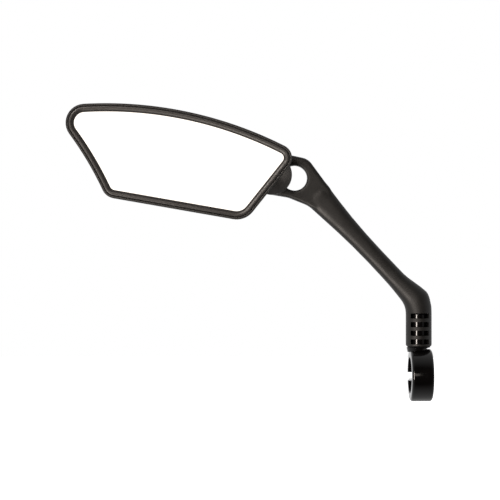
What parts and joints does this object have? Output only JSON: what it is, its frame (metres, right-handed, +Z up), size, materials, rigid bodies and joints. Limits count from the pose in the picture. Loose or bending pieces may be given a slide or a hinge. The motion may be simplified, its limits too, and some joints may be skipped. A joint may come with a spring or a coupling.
{
  "type": "bicycle mirror",
  "caption": "Left-hand handlebar mirror: slim angular mirror head on a ball joint, long moulded stem with a round eye, swivelling sleeve and split bar clamp.",
  "frame": {"origin": "centre of the bar clamp's bore", "axes": "+X along the handlebar, from the mirror head's side towards the rider's grip side; -Y towards the rider, the way the glass faces; +Z up, along the swivel post"},
  "size_m": [0.2229, 0.0516, 0.1821],
  "materials": {
    "clamp_plastic": "polished black glass-filled nylon",
    "stem_plastic": "fine-textured black glass-filled nylon",
    "shell_plastic": "fine-textured black ABS",
    "bezel_plastic": "satin black ABS",
    "carrier_plastic": "plain black ABS sheet",
    "mirror_glass": "silvered glass",
    "adhesive_foam": "closed-cell foam tape",
    "liner_nylon": "natural acetal",
    "washer_nylon": "black nylon",
    "ball_steel": "zinc-plated turned steel",
    "fastener_steel": "stainless steel",
    "screw_black": "black oxide steel",
    "insert_brass": "knurled brass"
  },
  "bodies": {
    "clamp": {"clamp_ring": "clamp_plastic", "clamp_washer": "fastener_steel", "clamp_nut": "fastener_steel"},
    "screw": {"clamp_screw": "screw_black"},
    "stem": {"stem_arm": "stem_plastic", "threaded_insert": "insert_brass", "swivel_bolt": "fastener_steel", "bolt_spring_washer": "fastener_steel", "sleeve_washer": "washer_nylon"},
    "stud": {"ball_stud": "ball_steel", "stud_washer": "fastener_steel", "stud_nut": "fastener_steel"},
    "liner": {"ball_liner": "liner_nylon"},
    "head": {"back_shell": "shell_plastic", "socket_ring": "shell_plastic", "socket_screws": "screw_black", "glass_carrier": "carrier_plastic", "adhesive_pad": "adhesive_foam", "mirror_glass": "mirror_glass", "bezel": "bezel_plastic"}
  },
  "joints": [
    {"name": "stem_swivel", "type": "hinge", "parent": "clamp", "child": "stem", "pos_m": [-0.0012, 0, 0.02], "axis": [0, 0, 1], "continuous": true},
    {"name": "head_roll", "type": "hinge", "parent": "stem", "child": "stud", "pos_m": [-0.0919, -0.0115, 0.1229], "axis": [0, 1, 0], "range_deg": [-60, 60]},
    {"name": "head_tilt", "type": "hinge", "parent": "stud", "child": "liner", "pos_m": [-0.0919, -0.0115, 0.1229], "axis": [1, 0, 0], "range_deg": [-20, 20]},
    {"name": "head_turn", "type": "hinge", "parent": "liner", "child": "head", "pos_m": [-0.0919, -0.0115, 0.1229], "axis": [0, 0, 1], "range_deg": [-20, 20]},
    {"name": "clamp_screw_turn", "type": "hinge", "parent": "clamp", "child": "screw", "pos_m": [0, 0.022, -0.012], "axis": [0, 0, 1], "continuous": true}
  ]
}
